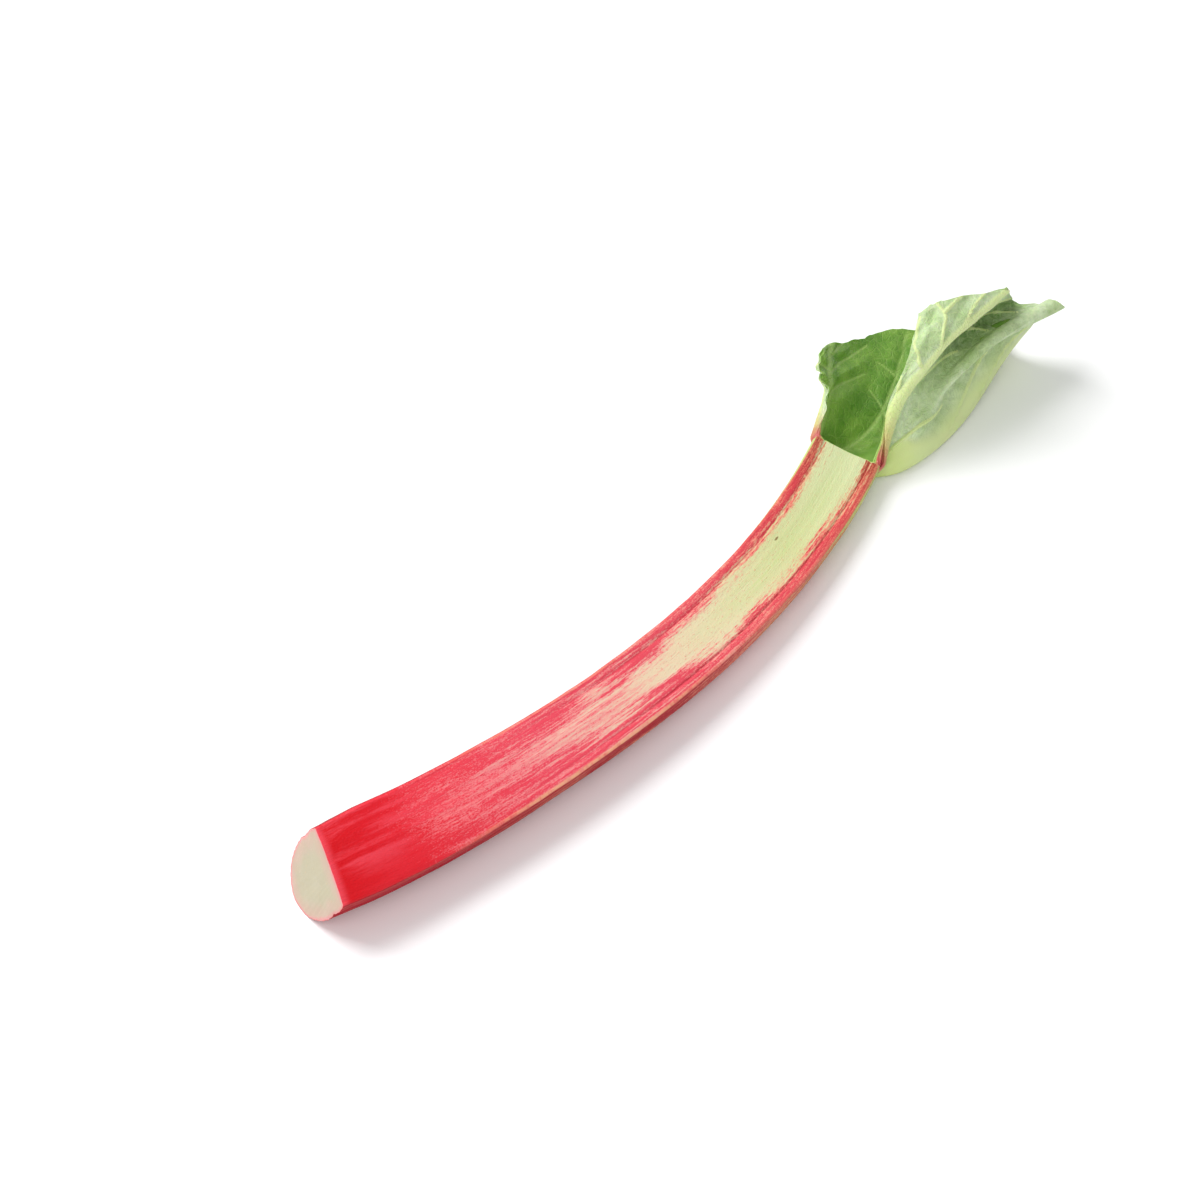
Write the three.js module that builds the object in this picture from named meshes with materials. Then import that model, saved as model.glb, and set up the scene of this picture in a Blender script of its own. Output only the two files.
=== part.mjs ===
// A picked rhubarb stalk with the trimmed foot of its leaf, lying on a flat surface.
// Two pieces: the stalk, and the leaf that opens out of its upper end. Millimetres, +Z up.
import * as THREE from "three";
import { mergeVertices } from "three/addons/utils/BufferGeometryUtils.js";

const degrees = THREE.MathUtils.degToRad;
const mix = THREE.MathUtils.lerp;
const ease = THREE.MathUtils.smoothstep;
const point = (x, y, z = 0) => new THREE.Vector3(x, y, z);
const smooth = (points) => new THREE.CatmullRomCurve3(points, false, "catmullrom");
const UP = point(0, 0, 1);

// Driving dimensions of the stalk
const STALK_REACH = 345; // from the cut end to the leaf joint, measured straight along X
const NEAR_BOW = { at: 0.342, aside: 24 }; // first handle of the spine's curve, as a share of the reach
const FAR_BOW = { at: 0.681, aside: 22 }; // second handle
const JOINT_ASIDE = 26; // sideways place of the leaf joint, against the cut end
const FACE_WIDTH = { cut: 36, joint: 32 }; // from edge ridge to edge ridge
const DEPTH = { cut: 34, joint: 18 }; // from the flat face to the bottom of the belly
const ROLL = { cut: degrees(30), joint: degrees(14.5) }; // turn of the flat face towards -Y
const STOUT_PART = 0.45; // share of the length over which the width shrinks
const ROLLED_PART = 0.75; // share of the length over which the face turns
const RIDGE_ANGLE = degrees(108); // from the bottom of the belly round to an edge ridge
const RIDGE_TOP = 0.05; // share of a half width that the blunt top of a ridge takes up
const FURROW = { at: 0.83, halfWidth: 0.06, depth: 0.8 }; // on each flank, just under the ridge
const GROOVE = { at: 0.76, halfWidth: 0.06, depth: 0.6 }; // on the flat face, along each edge
const FOOT_SWELL = { depth: 3, part: 0.15 }; // the belly is deeper towards the cut
const CUT_PINCH = { share: 0.055, part: 0.06 }; // the face is narrower right at the cut
const CUT_SLANT = 8.2; // how far the belly reaches past the face at the cut end
const CUT_SKEW = 2.5; // how far the right ridge reaches past the middle, and the left one falls short
const SLANTED_PART = 0.12; // share of the length that leans with the cut
const PRESSED_FLAT = 0.4; // how far the belly is flattened where it rests

// Driving dimensions of the leaf
const JOINT_GAP = 0.3; // clearance between the stalk's end and the leaf
const LIP_DROP = 5; // length over which the flat face drops to the floor of the leaf
const BLADE_THICKNESS = 1.3;
const KEEL = { halfWidth: 0.15, atJoint: 4, atTrim: 2.9 }; // extra thickness of the midrib
const RIB = { at: 0.72, halfWidth: 0.06, height: 1.8 }; // extra thickness of the side ribs
const FOOT = { reach: 0.3, thickness: 1.2 }; // fleshy start of the leaf
const CROWDING = 1.4; // over 1 puts more of the leaf's steps near the joint

// Fineness of the two meshes, and of the search for the lowest point of a section
const STALK_STEPS = { across: 28, along: 44 };
const LEAF_STEPS = { across: 56, along: 24 };
const SEARCH_STEP = 0.04;
const SLOPE_STEP = 0.01;

// A soft bump across the section, the same on both sides of the middle.
const bump = (across, { at, halfWidth }) => Math.exp(-(((Math.abs(across) - at) / halfWidth) ** 2));

// The spine runs through the middle of the stalk and bows sideways.
const spine = new THREE.CubicBezierCurve3(
  point(0, 0),
  point(STALK_REACH * NEAR_BOW.at, -NEAR_BOW.aside),
  point(STALK_REACH * FAR_BOW.at, -FAR_BOW.aside),
  point(STALK_REACH, JOINT_ASIDE),
);

// Size of the section at a station of the spine, from 0 at the cut end to 1 at the joint.
function sectionSize(s) {
  const pinch = 1 - CUT_PINCH.share * (1 - ease(s, 0, CUT_PINCH.part));
  const half = (pinch * mix(FACE_WIDTH.cut, FACE_WIDTH.joint, ease(s, 0, STOUT_PART))) / 2;
  const swell = FOOT_SWELL.depth * (1 - ease(s, 0, FOOT_SWELL.part));
  const depth = swell + mix(DEPTH.cut, DEPTH.joint, ease(s, 0, 1));
  const belly = depth / (1 - Math.cos(RIDGE_ANGLE));
  return { half, depth, belly, face: depth - belly };
}

// Directions at a station: along the spine, out of the flat face, and to the right of it.
function stationFrame(s) {
  const along = spine.getTangent(s);
  const level = along.clone().cross(UP);
  const roll = mix(ROLL.cut, ROLL.joint, ease(s, 0, ROLLED_PART));
  const out = UP.clone().multiplyScalar(Math.cos(roll)).addScaledVector(level, Math.sin(roll));
  return { along, out, right: along.clone().cross(out) };
}

// Outlines of the section, to the right and out of the face. across runs from -1 at the left ridge to
// 1 at the right ridge. The belly is part of an oval, with a furrow under each ridge.
function bellyOutline(across, { half, belly }) {
  const angle = across * RIDGE_ANGLE * (1 - RIDGE_TOP / 2);
  const right = (half / Math.sin(RIDGE_ANGLE)) * Math.sin(angle);
  const out = -belly * Math.cos(angle);
  const shrink = 1 - (FURROW.depth * bump(across, FURROW)) / Math.hypot(right, out);
  return [right * shrink, out * shrink];
}

// The flat face has a shallow groove along each edge.
function faceOutline(across, { half, face }) {
  return [across * half * (1 - RIDGE_TOP), face - GROOVE.depth * bump(across, GROOVE)];
}

// The spine's height puts the belly on the resting surface, pressed flat a little.
function spineHeight(s) {
  const { out, right } = stationFrame(s);
  const section = sectionSize(s);
  let lowest = 0;
  for (let across = -1; across <= 1; across += SEARCH_STEP) {
    const [toRight, outward] = bellyOutline(across, section);
    lowest = Math.min(lowest, right.z * toRight + out.z * outward);
  }
  return -lowest - PRESSED_FLAT;
}

// Place on the stalk's skin, where outline is one of the two outlines above.
function skinPoint(outline, across, s) {
  const { along, out, right } = stationFrame(s);
  const section = sectionSize(s);
  const [toRight, outward] = outline(across, section);
  const slant = (CUT_SLANT * (section.face - outward)) / section.depth;
  const lean = slant + (CUT_SKEW * toRight) / section.half;
  return spine
    .getPoint(s)
    .addScaledVector(right, toRight)
    .addScaledVector(out, outward)
    .addScaledVector(along, -lean * (1 - ease(s, 0, SLANTED_PART)))
    .addScaledVector(UP, spineHeight(s));
}

// The leaf's outer side is a fan of fifteen rays, from the left margin round the keel to the right
// margin. Each starts on the stalk's end and passes through three points.
const RAYS = [
  [point(351, 46, 30), point(358, 54, 36), point(363, 61, 38)], // left margin
  [point(353, 48, 30), point(361, 58, 36), point(369, 67, 38)],
  [point(357, 50, 26), point(370, 61, 31), point(381, 71, 33)], // left rib
  [point(365, 48, 16), point(383, 60, 21), point(396, 72, 25)],
  [point(371, 44, 7), point(398, 57, 12), point(419, 71, 18)],
  [point(374, 37, 2.5), point(406, 46, 6), point(443, 62, 12)],
  [point(374, 29, 1), point(410, 36, 2.5), point(459, 52, 8)],
  [point(372, 20, 0.4), point(410, 21, 1.5), point(468, 40, 7)], // keel
  [point(368, 8, 2), point(413, 10, 4), point(470, 27, 10)],
  [point(376, 9, 12), point(438, 24, 30), point(481, 15, 29)], // hollow under the fold
  [point(384, 13, 22), point(428, 13, 39), point(477, 9, 39)], // crest of the fold
  [point(382, 19, 25), point(430, 28, 37), point(465, 26, 37)], // valley
  [point(373, 20, 33), point(399, 16, 56), point(441, 14, 64)], // right rib
  [point(370, 22, 33), point(390, 20, 60), point(411, 26, 71)],
  [point(369, 22, 31), point(384, 25, 54), point(397, 33, 66)], // right margin
];
const rows = [0, 1, 2].map((row) => smooth(RAYS.map((ray) => ray[row])));

function leafOuter(across, k) {
  const start = skinPoint(bellyOutline, across, 1).addScaledVector(spine.getTangent(1), JOINT_GAP);
  const t = (across + 1) / 2;
  return smooth([start, ...rows.map((row) => row.getPoint(t))]).getPoint(k);
}

// Inward direction on the leaf's outer side, from its slopes across and along.
function leafInward(across, k) {
  const a = THREE.MathUtils.clamp(across, -1 + SLOPE_STEP, 1 - SLOPE_STEP);
  const b = THREE.MathUtils.clamp(k, SLOPE_STEP, 1 - SLOPE_STEP);
  const slopeAcross = leafOuter(a + SLOPE_STEP, b).sub(leafOuter(a - SLOPE_STEP, b));
  const slopeAlong = leafOuter(a, b + SLOPE_STEP).sub(leafOuter(a, b - SLOPE_STEP));
  return slopeAcross.cross(slopeAlong).normalize();
}

function leafThickness(across, k) {
  const keel = mix(KEEL.atJoint, KEEL.atTrim, k) * Math.exp(-((across / KEEL.halfWidth) ** 2));
  const ribs = RIB.height * (1 - k / 2) * bump(across, RIB);
  return BLADE_THICKNESS + keel + ribs + FOOT.thickness * (1 - ease(k, 0, FOOT.reach));
}

// The inner side starts as far off as the stalk's flat face and drops to the thickness of the leaf.
function leafInner(across, k) {
  const outer = leafOuter(across, k);
  const start = leafOuter(across, 0);
  const face = skinPoint(faceOutline, across, 1).addScaledVector(spine.getTangent(1), JOINT_GAP);
  const through = leafInward(across, k).multiplyScalar(leafThickness(across, k));
  const drop = ease(outer.distanceTo(start), 0, LIP_DROP);
  return face.sub(start).lerp(through, drop).add(outer);
}

// A closed slab, with a grid of points on its outer and its inner side, bent to the given places.
function bentSlab(steps, outer, inner) {
  const slab = new THREE.BoxGeometry(2, 1, 1, steps.across, steps.along, 1);
  slab.deleteAttribute("normal");
  slab.deleteAttribute("uv");
  const merged = mergeVertices(slab);
  const position = merged.getAttribute("position");
  for (let i = 0; i < position.count; i += 1) {
    const side = position.getZ(i) < 0 ? outer : inner;
    const place = side(position.getX(i), position.getY(i) + 0.5);
    position.setXYZ(i, place.x, place.y, Math.max(place.z, 0));
  }
  merged.computeVertexNormals();
  return merged;
}

function named(name, geometry, finish) {
  const mesh = new THREE.Mesh(geometry, new THREE.MeshStandardMaterial({ ...finish, metalness: 0 }));
  mesh.name = name;
  return mesh;
}

const stalkShape = bentSlab(
  STALK_STEPS,
  (across, s) => skinPoint(bellyOutline, across, s),
  (across, s) => skinPoint(faceOutline, across, s),
);
const leafShape = bentSlab(
  LEAF_STEPS,
  (across, k) => leafOuter(across, k ** CROWDING),
  (across, k) => leafInner(across, k ** CROWDING),
);

const rhubarb = new THREE.Group();
rhubarb.add(named("stalk", stalkShape, { color: 0xd2303c, roughness: 0.4 }));
rhubarb.add(named("leaf", leafShape, { color: 0x9bb56a, roughness: 0.6 }));

// The origin is under the middle of the whole piece, on the surface that it lies on.
const bounds = new THREE.Box3().setFromObject(rhubarb);
const middle = bounds.getCenter(new THREE.Vector3());
rhubarb.position.set(-middle.x, -middle.y, -bounds.min.z);

export default rhubarb;
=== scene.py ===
"""A picked rhubarb stalk with the trimmed foot of its leaf, lying on a pale studio floor.

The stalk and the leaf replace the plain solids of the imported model. Sizes are millimetres in the stalk's
own frame: the middle of the cut end is the origin, the stalk runs along +X and +Z is up. Two numbers
place a point on either piece: across, from -1 at the left ridge or margin to 1 at the right one, and
along, from 0 at the start of the piece to 1 at its end.
"""

import logging
from dataclasses import dataclass
from enum import Enum
from typing import Any

import bpy
import numpy as np
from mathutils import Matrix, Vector


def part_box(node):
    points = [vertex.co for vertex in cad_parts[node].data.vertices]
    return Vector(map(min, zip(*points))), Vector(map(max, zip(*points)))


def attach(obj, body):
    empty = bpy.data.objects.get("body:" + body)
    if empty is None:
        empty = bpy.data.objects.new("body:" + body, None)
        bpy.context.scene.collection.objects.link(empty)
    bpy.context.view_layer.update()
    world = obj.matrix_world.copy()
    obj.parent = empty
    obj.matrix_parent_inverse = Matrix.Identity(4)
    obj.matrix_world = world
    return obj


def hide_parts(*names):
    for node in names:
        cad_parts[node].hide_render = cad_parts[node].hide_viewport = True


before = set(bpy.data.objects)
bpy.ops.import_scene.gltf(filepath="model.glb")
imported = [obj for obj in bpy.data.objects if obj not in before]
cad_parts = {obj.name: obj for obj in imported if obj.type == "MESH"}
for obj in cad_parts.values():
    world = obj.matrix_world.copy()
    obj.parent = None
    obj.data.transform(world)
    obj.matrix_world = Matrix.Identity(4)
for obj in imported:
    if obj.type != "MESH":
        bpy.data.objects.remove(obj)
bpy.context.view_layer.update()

Array = np.ndarray
Colour = tuple[float, float, float]
Stops = tuple[tuple[float, Colour], ...]
MM = 0.001
TINY = 1e-9
EDGE = 1e-6  # a vertex this close to an edge of its slab lies on the edge
LATTICE = 128  # swells after which a ripple repeats
SHARP_ANGLE = 50.0  # degrees from which an edge is shaded as sharp
LOG = logging.getLogger("rhubarb")
UP = np.array([0.0, 0.0, 1.0])


# ---------------------------------------------------------------- numbers


def ease(value: Array | float, low: float, high: float) -> Array:
    """Rises smoothly from 0 at low to 1 at high."""
    share = np.clip((np.asarray(value, float) - low) / (high - low), 0, 1)
    return share * share * (3 - 2 * share)


def mix(first: Array | float, last: Array | float, share: Array) -> Array:
    """Goes in a straight line from first to last."""
    return first + (last - first) * share


def bump(value: Array, at: float, half_width: float) -> Array:
    """A soft bump, the same on both sides of zero."""
    return np.exp(-(((np.abs(value) - at) / half_width) ** 2))


def unit(vectors: Array) -> Array:
    """Vectors of length one."""
    return vectors / np.maximum(np.linalg.norm(vectors, axis=-1, keepdims=True), TINY)


def smooth_curve(points: Array, share: Array) -> Array:
    """Points on a smooth open curve.

    Args:
        points: what the curve passes through. The first axis counts them; the rest may hold one curve
            for each entry of share.
        share: where along the curve, from 0 to 1.

    Returns:
        One place for each entry of share.
    """
    ends = (2 * points[:1] - points[1:2], 2 * points[-1:] - points[-2:-1])
    held = np.concatenate((ends[0], points, ends[1]))
    steps = len(points) - 1
    place = np.clip(share, 0, 1) * steps
    index = np.minimum(place.astype(int), steps - 1)
    part = (place - index)[..., None]
    many = points.ndim > 2
    rows = np.arange(share.size).reshape(share.shape)

    def pick(offset: int) -> Array:
        """The point that stands offset places after the current one."""
        return held[index + offset, rows] if many else held[index + offset]

    before, start, end, after = (pick(offset) for offset in range(4))
    bend = 2 * before - 5 * start + 4 * end - after
    twist = 3 * (start - end) + after - before
    return 0.5 * (2 * start + (end - before) * part + bend * part**2 + twist * part**3)


@dataclass(frozen=True)
class Ripple:
    """Smooth seeded noise from -1 to 1 over two lengths.

    Args:
        seed: which ripple it is.
        wide: length of a swell in the first direction.
        long: length of a swell in the second direction.
    """

    seed: int
    wide: float
    long: float

    def at(self, first: Array, second: Array) -> Array:
        """The ripple's height at each pair of lengths.

        Args:
            first: lengths in the first direction.
            second: lengths in the second direction.

        Returns:
            Heights from -1 to 1.
        """
        lattice = np.random.default_rng(self.seed).uniform(-1, 1, (LATTICE, LATTICE))
        places = (np.asarray(first) / self.wide, np.asarray(second) / self.long)
        cells = [np.floor(place).astype(int) for place in places]
        parts = [ease(place - cell, 0, 1) for place, cell in zip(places, cells)]

        def pick(right: int, far: int) -> Array:
            """The lattice's value at a corner of the cell."""
            return lattice[(cells[0] + right) % LATTICE, (cells[1] + far) % LATTICE]

        near = mix(pick(0, 0), pick(1, 0), parts[0])
        far = mix(pick(0, 1), pick(1, 1), parts[0])
        return mix(near, far, parts[1])


Ripples = tuple[tuple[Ripple, float], ...]  # each with its height


# ---------------------------------------------------------------- shader boards


class Signal:
    """A number socket of a material that adds Math nodes when it is calculated with."""

    def __init__(self, board: "Board", socket: bpy.types.NodeSocket) -> None:
        """Keeps the board that new nodes go on and the socket that holds the number."""
        self.board = board
        self.socket = socket

    def math(self, operation: str, *values: "Signal | float") -> "Signal":
        """One Math node on this number and others."""
        node = self.board.node("ShaderNodeMath", {"operation": operation}, dict(enumerate(values)))
        return Signal(self.board, node.outputs[0])

    def __add__(self, other: "Signal | float") -> "Signal":
        """Sum."""
        return self.math("ADD", self, other)

    def __sub__(self, other: "Signal | float") -> "Signal":
        """Difference."""
        return self.math("SUBTRACT", self, other)

    def __rsub__(self, other: "Signal | float") -> "Signal":
        """Difference, with this number taken away."""
        return self.math("SUBTRACT", other, self)

    def __mul__(self, other: "Signal | float") -> "Signal":
        """Product."""
        return self.math("MULTIPLY", self, other)

    def __truediv__(self, other: "Signal | float") -> "Signal":
        """Quotient."""
        return self.math("DIVIDE", self, other)

    def __abs__(self) -> "Signal":
        """Size without sign."""
        return self.math("ABSOLUTE", self)

    def larger(self, other: "Signal | float") -> "Signal":
        """The larger of two numbers."""
        return self.math("MAXIMUM", self, other)

    def step(self, low: float, high: float, start: float = 0.0, end: float = 1.0) -> "Signal":
        """Goes smoothly from start, where this number is at low, to end, where it is at high.

        Args:
            low: value of this number where the change begins.
            high: value where it is complete.
            start: result at low and on its far side.
            end: result at high and beyond.

        Returns:
            The result.
        """
        settings = {"interpolation_type": "SMOOTHSTEP"}
        values = {0: self, 1: low, 2: high, 3: start, 4: end}
        return Signal(self.board, self.board.node("ShaderNodeMapRange", settings, values).outputs[0])

    def band(self, centre: float, half_width: float) -> "Signal":
        """One at centre, falling smoothly to zero at half_width from it."""
        return abs(self - centre).step(0.0, half_width, 1.0, 0.0)


class Board:
    """The node tree of one material."""

    def __init__(self, name: str) -> None:
        """Makes an empty material with a Principled shader on its output.

        Args:
            name: what the material is called.
        """
        self.material = bpy.data.materials.new(name)
        self.material.use_nodes = True
        self.tree = self.material.node_tree
        self.tree.nodes.clear()
        output = self.tree.nodes.new("ShaderNodeOutputMaterial")
        self.shader = self.tree.nodes.new("ShaderNodeBsdfPrincipled")
        self.tree.links.new(self.shader.outputs[0], output.inputs["Surface"])

    def node(self, kind: str, settings: dict[str, Any] | None = None, values: dict | None = None) -> Any:
        """Adds a node.

        Args:
            kind: the node's type.
            settings: its properties, which are set first.
            values: what its sockets hold or are linked to, by name, number or identifier.

        Returns:
            The new node.
        """
        node = self.tree.nodes.new(kind)
        for key, value in (settings or {}).items():
            setattr(node, key, value)
        for key, value in (values or {}).items():
            self.feed(self.find(node, key), value)
        return node

    @staticmethod
    def find(node: bpy.types.Node, key: str | int) -> bpy.types.NodeSocket:
        """An input by its number, its identifier or its name.

        Args:
            node: what the input belongs to.
            key: the number, the identifier or the name.

        Returns:
            The input.
        """
        if isinstance(key, int):
            return node.inputs[key]
        return next((s for s in node.inputs if s.identifier == key), None) or node.inputs[key]

    def feed(self, socket: bpy.types.NodeSocket, value: Any) -> None:
        """Links a signal or a socket to an input, or sets the input's own value.

        Args:
            socket: the input.
            value: a signal, a socket, a colour, or a plain value.
        """
        if isinstance(value, Signal):
            self.tree.links.new(value.socket, socket)
        elif isinstance(value, bpy.types.NodeSocket):
            self.tree.links.new(value, socket)
        elif isinstance(value, tuple) and len(value) == 3 and socket.type == "RGBA":
            socket.default_value = (*linear(value), 1.0)
        else:
            socket.default_value = value

    def finish(self, **values: Any) -> bpy.types.Material:
        """Feeds the shader and returns the material. Underscores in the names stand for spaces.

        Args:
            values: what each socket gets. Underscores in the names stand for spaces.

        Returns:
            The material.
        """
        for key, value in values.items():
            self.feed(self.shader.inputs[key.replace("_", " ")], value)
        return self.material

    def attribute(self, name: str) -> tuple[Signal, Signal, Signal]:
        """The three numbers of a piece's own attribute.

        Args:
            name: the attribute.

        Returns:
            One signal for each number.
        """
        held = self.node("ShaderNodeAttribute", {"attribute_name": name})
        split = self.node("ShaderNodeSeparateXYZ", None, {0: held.outputs["Vector"]})
        return tuple(Signal(self, socket) for socket in split.outputs)

    def object_place(self) -> bpy.types.NodeSocket:
        """Object coordinates, in metres."""
        return self.node("ShaderNodeTexCoord").outputs["Object"]

    def join(self, *parts: Signal | float) -> bpy.types.NodeSocket:
        """A vector from three numbers."""
        return self.node("ShaderNodeCombineXYZ", None, dict(enumerate(parts))).outputs[0]

    def noise(self, place: Any, scale: float, detail: float = 3.0, roughness: float = 0.55) -> Signal:
        """Noise from 0 to 1."""
        values = {"Vector": place, "Scale": scale, "Detail": detail, "Roughness": roughness}
        return Signal(self, self.node("ShaderNodeTexNoise", None, values).outputs[0])

    def grain(self, wide: Signal, far: Signal, size: tuple[float, float], lane: Signal) -> Signal:
        """Noise over the skin, from 0 to 1.

        Args:
            wide: millimetres across the skin.
            far: millimetres along it.
            size: how wide and how long a spot is, in millimetres.
            lane: sets patterns on different sides apart.

        Returns:
            The noise, with its contrast raised so that it reaches both ends.
        """
        place = self.join(wide * (1 / size[0]), far * (1 / size[1]), lane)
        return self.noise(place, 1.0, 2.0, 0.6).step(0.25, 0.75)

    def warped(self, place: bpy.types.NodeSocket, scale: float, reach: float) -> bpy.types.NodeSocket:
        """Coordinates that are shifted unevenly by up to reach, for patterns that are not too regular.

        Args:
            place: the coordinates.
            scale: how fine the shifts are.
            reach: the largest shift, in metres.

        Returns:
            The shifted coordinates.
        """
        shift = self.node("ShaderNodeTexNoise", None, {"Vector": place, "Scale": scale, "Detail": 1.0})
        values = {0: shift.outputs["Color"], "Scale": reach}
        scaled = self.node("ShaderNodeVectorMath", {"operation": "SCALE"}, values)
        values = {0: place, 1: scaled.outputs[0]}
        return self.node("ShaderNodeVectorMath", {"operation": "ADD"}, values).outputs[0]

    def cells(self, place: Any, scale: float, feature: str) -> Signal:
        """Distances in a pattern of cells, to the walls or to the middles.

        Args:
            place: coordinates in metres.
            scale: how many cells stand on a metre.
            feature: F1 for the nearest middle, DISTANCE_TO_EDGE for the walls.

        Returns:
            The distance, as a share of a cell.
        """
        values = {"Vector": place, "Scale": scale}
        node = self.node("ShaderNodeTexVoronoi", {"feature": feature}, values)
        return Signal(self, node.outputs["Distance"])

    def blend(self, share: Signal | float, first: Any, last: Any) -> bpy.types.NodeSocket:
        """A colour between two colours.

        Args:
            share: 0 gives the first colour and 1 the last.
            first: a colour or a socket.
            last: a colour or a socket.

        Returns:
            The blended colour.
        """
        values = {"Factor_Float": share, "A_Color": first, "B_Color": last}
        node = self.node("ShaderNodeMix", {"data_type": "RGBA"}, values)
        return next(s for s in node.outputs if s.identifier == "Result_Color")

    def ramp(self, place: Signal, stops: Stops) -> bpy.types.NodeSocket:
        """A colour that changes along a scale with the given stops.

        Args:
            place: where on the scale, from 0 to 1.
            stops: colours at places on the scale, in order.

        Returns:
            The colour there.
        """
        node = self.node("ShaderNodeValToRGB", None, {0: place})
        elements = node.color_ramp.elements
        while len(elements) < len(stops):
            elements.new(1.0)
        for element, (position, colour) in zip(elements, stops):
            element.position = position
            element.color = (*linear(colour), 1.0)
        return node.outputs["Color"]

    def relief(self, height: Signal, distance: float, strength: float = 1.0) -> bpy.types.NodeSocket:
        """A bumped normal from a height of 0 to 1 that stands for a distance in metres."""
        values = {"Height": height, "Distance": distance, "Strength": strength}
        return self.node("ShaderNodeBump", None, values).outputs[0]


def linear(colour: Colour) -> Colour:
    """Scene-linear value of a colour given as 0 to 255 on a screen."""
    shares = (part / 255 for part in colour)
    return tuple(s / 12.92 if s <= 0.04045 else ((s + 0.055) / 1.055) ** 2.4 for s in shares)


# ---------------------------------------------------------------- slabs


@dataclass(frozen=True)
class Slab:
    """A closed block of fine layers, whose vertices are then moved to their places.

    Args:
        across: steps from side to side.
        along: steps from start to end.
        layers: steps through the thickness.
    """

    across: int
    along: int
    layers: int

    def model(self, name: str) -> bpy.types.Object:
        """Models the block: a grid, extruded upwards one layer at a time.

        Args:
            name: what the piece is called.

        Returns:
            The piece, from -1 to 1 across and along, and from 0 to 1 high.
        """
        bpy.ops.object.select_all(action="DESELECT")
        bpy.ops.mesh.primitive_grid_add(
            x_subdivisions=self.across, y_subdivisions=self.along, size=2, location=(0, 0, 0)
        )
        piece = bpy.context.active_object
        piece.name = name
        piece.data.name = name
        rise = {"value": (0, 0, 1 / self.layers)}
        bpy.ops.object.mode_set(mode="EDIT")
        bpy.ops.mesh.select_all(action="SELECT")
        for _ in range(self.layers):
            bpy.ops.mesh.extrude_region_move(TRANSFORM_OT_translate=rise)
        bpy.ops.mesh.select_all(action="SELECT")
        bpy.ops.mesh.normals_make_consistent(inside=False)
        bpy.ops.object.mode_set(mode="OBJECT")
        return piece

    @staticmethod
    def places(piece: bpy.types.Object) -> tuple[Array, Array, Array]:
        """Each vertex's share across, from -1 to 1, and along and through, from 0 to 1.

        Args:
            piece: a block as it was modelled.

        Returns:
            Shares across, along, and through the thickness.
        """
        flat = np.zeros(len(piece.data.vertices) * 3, np.float32)
        piece.data.vertices.foreach_get("co", flat)
        across, along, through = flat.reshape(-1, 3).astype(float).T
        return across, (along + 1) / 2, np.clip(through, 0, 1)


def move_vertices(piece: bpy.types.Object, places: Array) -> None:
    """Puts the vertices at places given in metres and smooths the shading up to a sharp edge.

    Args:
        piece: what is moved.
        places: in metres, one row for each vertex.
    """
    piece.data.vertices.foreach_set("co", places.astype(np.float32).ravel())
    piece.data.update()
    bpy.ops.object.select_all(action="DESELECT")
    piece.select_set(True)
    bpy.context.view_layer.objects.active = piece
    bpy.ops.object.mode_set(mode="EDIT")
    bpy.ops.mesh.select_all(action="SELECT")
    bpy.ops.mesh.normals_make_consistent(inside=False)
    bpy.ops.object.mode_set(mode="OBJECT")
    bpy.ops.object.shade_smooth_by_angle(angle=np.radians(SHARP_ANGLE))


def write_attribute(piece: bpy.types.Object, name: str, *parts: Array) -> None:
    """Stores up to three numbers for each vertex.

    Args:
        piece: what they are stored on.
        name: the attribute.
        parts: one number for each vertex.
    """
    held = piece.data.attributes.new(name, "FLOAT_VECTOR", "POINT")
    values = np.zeros((len(piece.data.vertices), 3), np.float32)
    for column, part in enumerate(parts):
        values[:, column] = part
    held.data.foreach_set("vector", values.ravel())


def read_attribute(piece: bpy.types.Object, name: str) -> Array:
    """The three numbers that are stored for each vertex.

    Args:
        piece: what they are stored on.
        name: the attribute.

    Returns:
        One row for each vertex.
    """
    values = np.zeros(len(piece.data.vertices) * 3, np.float32)
    piece.data.attributes[name].data.foreach_get("vector", values)
    return values.reshape(-1, 3)


# ---------------------------------------------------------------- the stalk's shape


class Side(Enum):
    """The two sides of the stalk."""

    UNDER = "the round side, towards the ground"
    FACE = "the flat side, away from it"


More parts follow.
